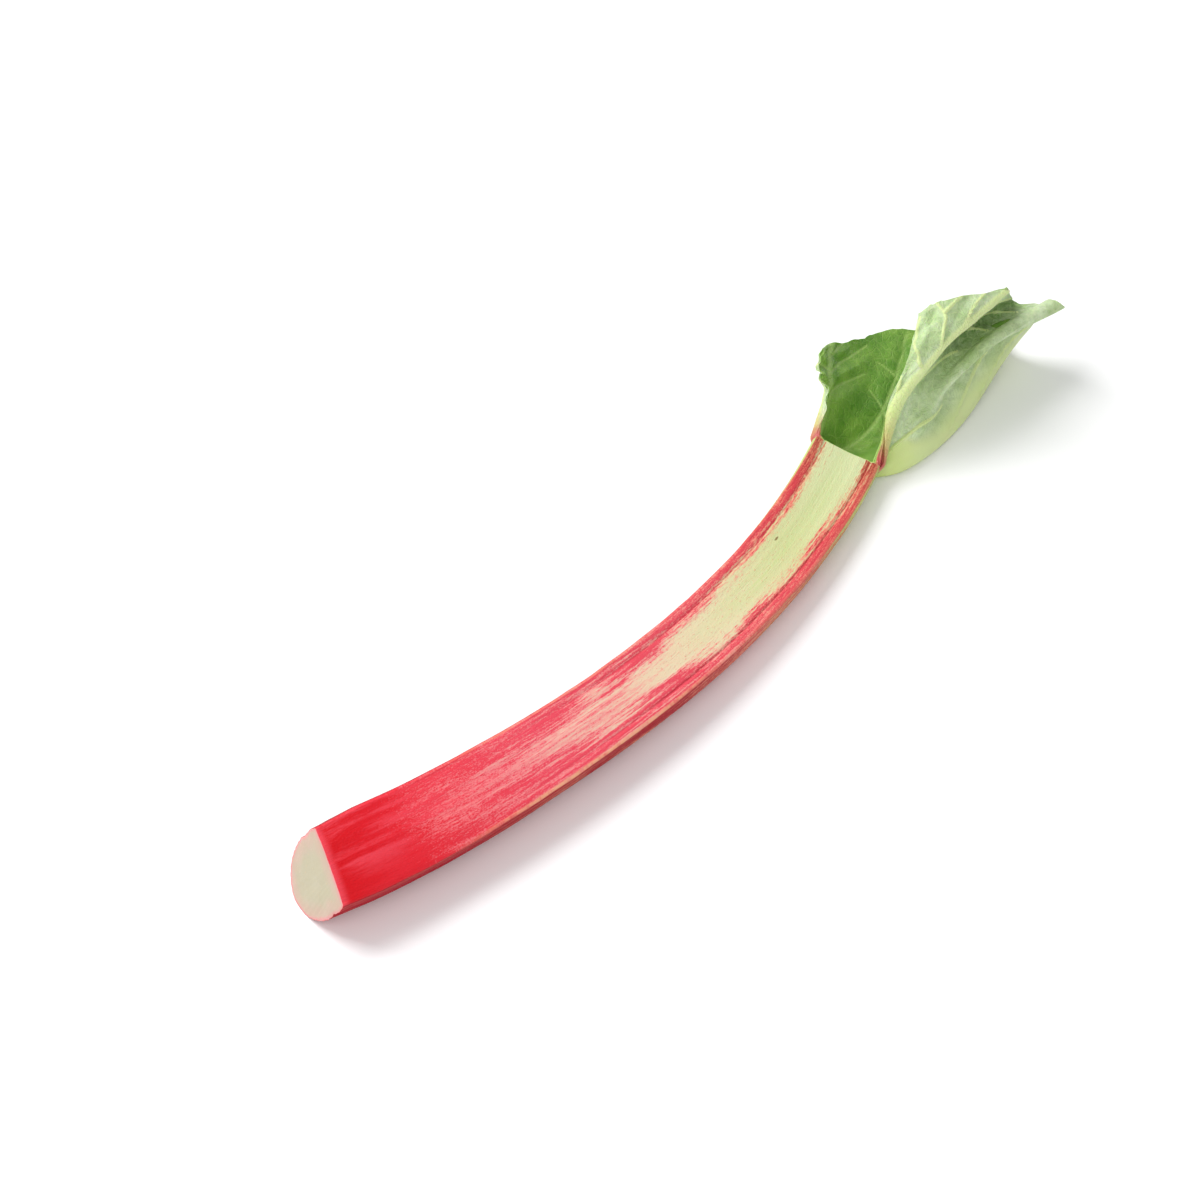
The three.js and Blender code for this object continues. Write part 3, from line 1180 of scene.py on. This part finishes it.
@dataclass(frozen=True)
class LeafFinish:
    """The leaf: pale grey-green with raised pale veins outside, darker and smoother inside."""

    name: str = "leaf_green"
    outside: Colour = (172, 196, 138)
    outside_pale: Colour = (206, 222, 182)
    # dark green of the random mottle, also used as painted shade in the dip between the right rib and the
    # fold
    mottle_and_painted_shade_green: Colour = (86, 126, 46)
    inside: Colour = (138, 178, 74)
    inside_dark: Colour = (96, 146, 46)
    vein: Colour = (208, 226, 162)
    inside_vein: Colour = (176, 206, 116)
    keel: Colour = (208, 222, 156)
    foot: Colour = (196, 212, 128)
    blush: Colour = (186, 78, 78)
    tan: Colour = (198, 158, 104)
    trim: Colour = (176, 168, 96)
    roughness: tuple[float, float] = (0.62, 0.42)  # outside and inside
    fleshy_gloss: float = 0.14  # roughness that the keel and foot lack
    bump_depth: float = 0.0005

    def grain(self, board: Board) -> LeafGrain:
        """Adds the noises and nets of the leaf.

        Args:
            board: the material's nodes.

        Returns:
            The place on the leaf and what is there.
        """
        across, along, side = board.attribute("place")
        vein, fleshy, _ = board.attribute("veins")
        place = board.object_place()
        cloud = board.noise(place, 60.0)
        mottle = board.noise(place, 380.0, 3.0, 0.6)
        uneven = board.warped(place, 220.0, 0.004)
        big_net = board.cells(uneven, 170.0, "DISTANCE_TO_EDGE").step(0.015, 0.075, 1.0, 0.0)
        small_net = board.cells(uneven, 430.0, "DISTANCE_TO_EDGE").step(0.02, 0.12, 1.0, 0.0)
        return LeafGrain(across, along, side, vein, fleshy, cloud, mottle, big_net, small_net)

    def outer_colour(self, board: Board, leaf: LeafGrain) -> bpy.types.NodeSocket:
        """Colour of the outer side, with painted shade darkening the dip between the right rib and the
        fold.

        Args:
            board: the material's nodes.
            leaf: the place and what is there.

        Returns:
            The colour.
        """
        mottle = leaf.mottle
        green = board.blend(leaf.cloud.step(0.3, 0.7), self.outside, self.outside_pale)
        # painted shade: the dip between the right rib and the fold is darkened where shadow falls in it
        shade = leaf.across.band(0.56, 0.1) * leaf.along.step(0.35, 0.7)
        green = board.blend(shade * mottle.step(0.2, 0.8, 0.5, 0.95), green, self.mottle_and_painted_shade_green)
        green = board.blend(mottle.step(0.35, 0.7, 0.0, 0.25), green, self.mottle_and_painted_shade_green)
        green = board.blend(leaf.net(), green, self.vein)
        upward = leaf.along + (leaf.cloud - 0.5) * 0.3
        stem = board.blend(upward.step(0.05, 0.5), self.foot, self.keel)
        return board.blend(leaf.fleshy.larger(leaf.vein.step(0.05, 0.5) * 0.92), green, stem)

    def inner_colour(self, board: Board, leaf: LeafGrain) -> bpy.types.NodeSocket:
        """Colour of the inner side.

        Args:
            board: the material's nodes.
            leaf: the place and what is there.

        Returns:
            The colour.
        """
        green = board.blend(leaf.cloud.step(0.3, 0.7), self.inside, self.inside_dark)
        green = board.blend((leaf.vein * 0.75).larger(leaf.net() * 0.8), green, self.inside_vein)
        return board.blend(leaf.along.step(0.02, 0.1, 0.3, 0.0), green, self.foot)

    def material(self) -> bpy.types.Material:
        """Builds the leaf's surface, with a red and tan start of each margin and a dried trim.

        Returns:
            The material.
        """
        board = Board(self.name)
        leaf = self.grain(board)
        sides = self.outer_colour(board, leaf), self.inner_colour(board, leaf)
        colour = board.blend(leaf.side.step(0.3, 0.7), *sides)
        at_edge = (abs(leaf.across) - leaf.side * 0.22).step(0.6, 0.8)
        faded = leaf.along + (leaf.mottle - 0.5) * 0.08
        colour = board.blend(at_edge * faded.step(0.08, 0.32, 0.75, 0.0), colour, self.tan)
        colour = board.blend(at_edge * faded.step(0.03, 0.15, 0.95, 0.0), colour, self.blush)
        colour = board.blend(leaf.along.step(0.985, 1.0) * leaf.fleshy * 0.6, colour, self.trim)
        rough = (leaf.mottle * 0.5 + leaf.side * 0.5).step(0.0, 1.0, *self.roughness)
        fine = board.noise(board.object_place(), 1500.0, 2.0, 0.6)
        pillows = (1.0 - (leaf.big_net * 0.6).larger(leaf.small_net * 0.4)) * (1.0 - leaf.fleshy)
        height = pillows * 0.6 + fine * 0.12 + leaf.mottle * 0.28
        outward = leaf.side.step(0.3, 0.7, -1.0, 1.0)
        return board.finish(
            Base_Color=colour,
            Roughness=rough - leaf.fleshy * self.fleshy_gloss,
            Normal=board.relief(height * outward, self.bump_depth, 0.9),
            Subsurface_Weight=0.2,
            Subsurface_Radius=(0.5, 1.0, 0.25),
            Subsurface_Scale=0.0015,
        )


@dataclass(frozen=True)
class FloorFinish:
    """A plain pale studio floor."""

    name: str = "studio_floor"
    tone: Colour = (252, 252, 253)

    def material(self) -> bpy.types.Material:
        """Builds the floor's surface."""
        return Board(self.name).finish(Base_Color=self.tone, Roughness=0.6, Specular_IOR_Level=0.2)


# ---------------------------------------------------------------- the pieces


@dataclass
class Stalk:
    """The stalk, from its cut foot to the leaf joint."""

    form: StalkForm
    shift: Array
    slab: Slab = Slab(across=100, along=340, layers=14)
    ridge_bulge: float = 0.35
    nibbles: Ripple = Ripple(11, 0.025, 7.0)  # unevenness of the ridges
    nibbled: tuple[float, float] = (0.18, 0.06)  # its height, half width across
    saw_marks: Ripple = Ripple(12, 5.0, 5.0)
    sawn: tuple[float, float] = (0.35, 0.3)  # height of the marks, and how far the cut's flesh bulges out

    def build(self) -> bpy.types.Object:
        """Models the stalk and moves its skin into place.

        Returns:
            The stalk.
        """
        piece = self.slab.model("rhubarb_stem")
        across, along, through = self.slab.places(piece)
        through = 0.5 - 0.5 * np.cos(np.pi * through)
        inside = np.sin(np.pi * through)
        places = mix(*(self.skin(side, across, along) for side in Side), through[:, None])
        _, _, right = self.form.directions(along)
        bulge = self.ridge_bulge * inside * (np.abs(across) > 1 - EDGE) * np.sign(across)
        places += right * bulge[:, None]
        height, half_width = self.nibbled
        nibble = self.nibbles.at(across, along * self.form.reach)
        places += UP * (height * nibble * bump(across, 1.0, half_width))[:, None]
        height, out = self.sawn
        saw = self.saw_marks.at(places[:, 1], places[:, 2])
        places[:, 0] += inside * (along < EDGE) * (height * saw - out)
        places[:, 2] = np.maximum(places[:, 2], 0)
        self.mark(piece, places, across, along, through)
        move_vertices(piece, (places + self.shift) * MM)
        return piece

    def skin(self, side: Side, across: Array, along: Array) -> Array:
        """Places on one side, with its ribs, strips and lumps."""
        places, out = self.form.place(side, across, along)
        return places + out * self.form.swell(side, across, along)[:, None]

    def mark(
        self, piece: bpy.types.Object, places: Array, across: Array, along: Array, through: Array
    ) -> None:
        """Stores what the finishes need: the place on the skin, and the distance to the cut's rim.

        Args:
            piece: the stalk.
            places: of its vertices, in millimetres.
            across: from -1 at the left ridge to 1 at the right ridge.
            along: from 0 at the cut to 1 at the joint.
            through: from 0 on the round side to 1 on the flat side.
        """
        write_attribute(piece, "place", across, along, through)
        at_cut = along < EDGE
        on_skin = (np.abs(across) > 1 - EDGE) | (through < EDGE) | (through > 1 - EDGE)
        gaps = places[at_cut][:, None] - places[at_cut & on_skin][None]
        from_rim = np.zeros(len(places))
        from_rim[at_cut] = np.linalg.norm(gaps, axis=2).min(1)
        write_attribute(piece, "cut", from_rim)

    def dress(self, piece: bpy.types.Object, skin: bpy.types.Material, cut: bpy.types.Material) -> None:
        """Gives the skin its finish and the cut end its own.

        Args:
            piece: the stalk.
            skin: for all but the cut end.
            cut: for the cut end.
        """
        piece.data.materials.append(skin)
        piece.data.materials.append(cut)
        along = read_attribute(piece, "place")[:, 1]
        for polygon in piece.data.polygons:
            polygon.material_index = int(all(along[v] < EDGE for v in polygon.vertices))


@dataclass
class Leaf:
    """The folded foot of the leaf, trimmed with a knife."""

    form: LeafForm
    shift: Array
    slab: Slab = Slab(across=220, along=190, layers=4)
    right_crowding: float = 0.12  # shifts the steps towards the right half, which is longer
    joint_crowding: float = 1.5  # over 1 puts more of the steps near the joint
    ragged: float = 0.035  # share of the length that the knife took off unevenly
    bites: Ripples = ((Ripple(21, 0.05, 1.0), 0.6), (Ripple(22, 0.017, 1.0), 0.4))
    frayed: float = 0.02  # share of the width that the margins lost unevenly
    fraying: Ripple = Ripple(23, 1.0, 0.06)
    crumples: Ripples = ((Ripple(24, 0.11, 0.13), 1.0), (Ripple(25, 0.05, 0.06), 0.5))
    crumpled: tuple[float, float] = (0.35, 0.9)  # how strongly everywhere, and more towards the edges
    fold: tuple[float, float, float] = (0.44, 0.1, 0.85)  # across, half width, share it crumples less
    fleshy_left: tuple[float, float] = (0.5, 0.15)  # how far across the foot and the keel reach
    fleshy_right: tuple[float, float] = (0.52, 0.21)

    def build(self) -> bpy.types.Object:
        """Models the leaf and moves both sides into place.

        Returns:
            The leaf.
        """
        piece = self.slab.model("rhubarb_leaf")
        across, along, through = self.slab.places(piece)
        across = across + self.right_crowding * (1 - across**2)
        along = along**self.joint_crowding
        form = self.form
        trimmed = self.trim(across, along)
        base, out = form.outer(*trimmed), form.outward(*trimmed)
        height, vein, near = form.relief(base, VEINS)
        height *= 1 - ease(np.abs(across), 0.82, 0.96) * (1 - ease(along, 0.35, 0.55))
        height *= ease(along, 0.0, 0.06)
        fleshy = self.fleshy(across, along)
        soft = self.softness(across, along, fleshy)
        swell = self.buckle(across, along, near) * soft + self.roll(base, across, along)
        middle = base + out * swell[:, None]
        outer = middle + out * height[:, None]
        start = form.outer(across, np.zeros_like(along))
        face, _ = form.stalk.place(Side.FACE, across, np.ones_like(along))
        blade = out * (form.impressed * vein * soft - form.thickness(across, along))[:, None]
        past_lip = ease(np.linalg.norm(base - start, axis=1), 0.0, form.lip_drop)
        inner = middle + mix(face - start, blade, past_lip[:, None])
        places = mix(outer, inner, through[:, None])
        places[:, 2] = np.maximum(places[:, 2], 0)
        write_attribute(piece, "place", across, along, through)
        write_attribute(piece, "veins", vein, fleshy)
        move_vertices(piece, (places + self.shift) * MM)
        return piece

    def trim(self, across: Array, along: Array) -> tuple[Array, Array]:
        """Moves the trim and the margins inwards unevenly, but not at the keel and the ribs.

        Args:
            across: from -1 at the left margin to 1 at the right margin.
            along: from 0 at the joint to 1 at the trim.

        Returns:
            The new places, across and along.
        """
        stiff = np.exp(-((across / 0.2) ** 2)) + bump(across, RIB_ACROSS, 0.06)
        bite = 0.5 + 0.5 * sum(ripple.at(across, along) * height for ripple, height in self.bites)
        bite = bite * np.clip(1 - stiff, 0, 1) * ease(along, 0.6, 1.0)
        fray = 0.5 + 0.5 * self.fraying.at(across, along) * ease(along, 0.1, 0.3)
        fray = fray * ease(np.abs(across), 0.8, 1.0)
        return across * (1 - self.frayed * fray), along * (1 - self.ragged * bite)

    def softness(self, across: Array, along: Array, fleshy: Array) -> Array:
        """How far the blade gives way, from 0 to 1: little at the foot, the keel and the fold.

        Args:
            across: from -1 at the left margin to 1 at the right margin.
            along: from 0 at the joint to 1 at the trim.
            fleshy: how far it belongs to the keel and foot.

        Returns:
            Shares.
        """
        at, half_width, stiffness = self.fold
        calm = 1 - stiffness * bump(across, at, half_width) * ease(along, 0.3, 0.6)
        return (1 - fleshy) * ease(along, 0.05, 0.3) * calm

    def buckle(self, across: Array, along: Array, near: Array) -> Array:
        """How far a soft blade sinks between its veins and crumples.

        Args:
            across: from -1 at the left margin to 1 at the right margin.
            along: from 0 at the joint to 1 at the trim.
            near: distance to the nearest vein, in millimetres.

        Returns:
            Heights, which are below zero where it sinks.
        """
        crumple = sum(ripple.at(across, along) * height for ripple, height in self.crumples)
        everywhere, at_edges = self.crumpled
        flutter = ease(along, 0.5, 1.0) + ease(np.abs(across), 0.75, 1.0)
        quilt = self.form.quilting * ease(near, 0.0, self.form.quilt_reach)
        return crumple * (everywhere + at_edges * flutter) - quilt

    def roll(self, base: Array, across: Array, along: Array) -> Array:
        """How far the rolled crest of the fold stands out.

        Args:
            base: places of the outer side, in millimetres.
            across: from -1 at the left margin to 1 at the right margin.
            along: from 0 at the joint to 1 at the trim.

        Returns:
            Heights.
        """
        height, _, _ = self.form.relief(base, (ROLL,))
        on_crest = ease(across, 0.2, 0.34) * (1 - ease(across, 0.56, 0.66))
        return height * on_crest * ease(along, 0.36, 0.6)

    def fleshy(self, across: Array, along: Array) -> Array:
        """How far a place belongs to the thick smooth keel and foot, from 0 to 1.

        Args:
            across: from -1 at the left margin to 1 at the right margin.
            along: from 0 at the joint to 1 at the trim.

        Returns:
            Shares.
        """
        right_edge = mix(*self.fleshy_right, ease(along, 0.05, 0.5))
        left_edge = mix(*self.fleshy_left, ease(along, 0, 0.25))
        right = 1 - ease(across, right_edge - 0.03, right_edge + 0.03)
        left = 1 - ease(-across, left_edge - 0.03, left_edge + 0.03)
        return np.maximum(right * left, 1 - ease(along, 0.02, 0.1))

    def dress(self, piece: bpy.types.Object, green: bpy.types.Material) -> None:
        """Gives the leaf its finish."""
        piece.data.materials.append(green)


@dataclass(frozen=True)
class Lamp:
    """A square soft light that faces the middle of the floor, in metres and watts."""

    name: str
    place: tuple[float, float, float]
    size: float
    power: float

    def hang(self) -> None:
        """Adds the light."""
        data = bpy.data.lights.new(self.name, "AREA")
        data.size = self.size
        data.energy = self.power
        lamp = bpy.data.objects.new(self.name, data)
        bpy.context.scene.collection.objects.link(lamp)
        lamp.location = self.place
        lamp.rotation_euler = (-Vector(self.place)).to_track_quat("-Z", "Y").to_euler()


@dataclass(frozen=True)
class Studio:
    """The plain studio: floor, lights and camera."""

    azimuth: float = -45.0  # degrees round from the front, and up
    elevation: float = 45.0
    distance: float = 1.5
    lens: float = 100.0
    sensor: float = 36.0
    far_limit: float = 50.0
    aim: tuple[float, float, float] = (207.5, 49.7, 0.0)  # millimetres, in the stalk's frame
    floor_size: float = 6.0
    brightness: float = 0.45
    lamps: tuple[Lamp, ...] = (
        Lamp("key", (-0.35, 1.15, 1.6), 1.5, 40.0),
        Lamp("front", (-1.2, -0.9, 1.2), 1.4, 16.0),
    )

    def floor(self) -> bpy.types.Object:
        """A large flat floor.

        Returns:
            The floor, which belongs to the studio.
        """
        bpy.ops.object.select_all(action="DESELECT")
        bpy.ops.mesh.primitive_plane_add(size=self.floor_size, location=(0, 0, 0))
        floor = bpy.context.active_object
        floor.name = "studio_floor"
        floor.data.materials.append(FloorFinish().material())
        return floor

    def lights(self) -> None:
        """A bright even room, with a large soft light from behind and a weaker one in front."""
        world = bpy.data.worlds.new("studio")
        world.use_nodes = True
        background = world.node_tree.nodes["Background"]
        background.inputs["Color"].default_value = (1.0, 1.0, 1.0, 1.0)
        background.inputs["Strength"].default_value = self.brightness
        bpy.context.scene.world = world
        for lamp in self.lamps:
            lamp.hang()

    def camera(self, shift: Array) -> None:
        """The camera, above the stalk and in front of its near side.

        Args:
            shift: from the stalk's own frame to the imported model's, in millimetres.
        """
        azimuth, elevation = np.radians([self.azimuth, self.elevation])
        back = Vector((np.sin(azimuth), -np.cos(azimuth), np.tan(elevation))).normalized()
        data = bpy.data.cameras.new("camera")
        data.lens = self.lens
        data.sensor_width = self.sensor
        data.clip_end = self.far_limit
        camera = bpy.data.objects.new("camera", data)
        bpy.context.scene.collection.objects.link(camera)
        camera.location = Vector((np.array(self.aim) + shift) * MM) + back * self.distance
        camera.rotation_euler = back.to_track_quat("Z", "Y").to_euler()
        bpy.context.scene.camera = camera


def frame_shift(stalk: StalkForm) -> Array:
    """From the stalk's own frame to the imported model's, in millimetres.

    Args:
        stalk: its shape.

    Returns:
        The shift.
    """
    grid = np.meshgrid(np.linspace(-1, 1, 41), np.linspace(0, 1, 61))
    across, along = (part.ravel() for part in grid)
    own = np.concatenate([stalk.place(side, across, along)[0] for side in Side])
    low, high = (np.array(corner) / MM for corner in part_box("stalk"))
    middle = (low + high) / 2 - (own.min(0) + own.max(0)) / 2
    return np.array([middle[0], middle[1], 0.0])


def settle(piece: bpy.types.Object, node: str) -> None:
    """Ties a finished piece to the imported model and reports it.

    Args:
        piece: what is finished.
        node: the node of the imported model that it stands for.
    """
    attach(piece, "root")
    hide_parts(node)
    LOG.info("%s: %d faces, stands for %s", piece.name, len(piece.data.polygons), node)


def main() -> None:
    """Builds the stalk, the leaf and the studio."""
    logging.basicConfig(level=logging.INFO, format="%(message)s")
    bpy.context.scene.view_settings.view_transform = "Standard"
    form = StalkForm()
    shift = frame_shift(form)
    studio = Studio()
    studio.camera(shift)
    stalk = Stalk(form, shift)
    stem = stalk.build()
    stalk.dress(stem, SkinFinish().material(), CutFinish().material())
    settle(stem, "stalk")
    leaf = Leaf(LeafForm(form), shift)
    blade = leaf.build()
    leaf.dress(blade, LeafFinish().material())
    settle(blade, "leaf")
    studio.floor()
    studio.lights()


if __name__ == "__main__":
    main()
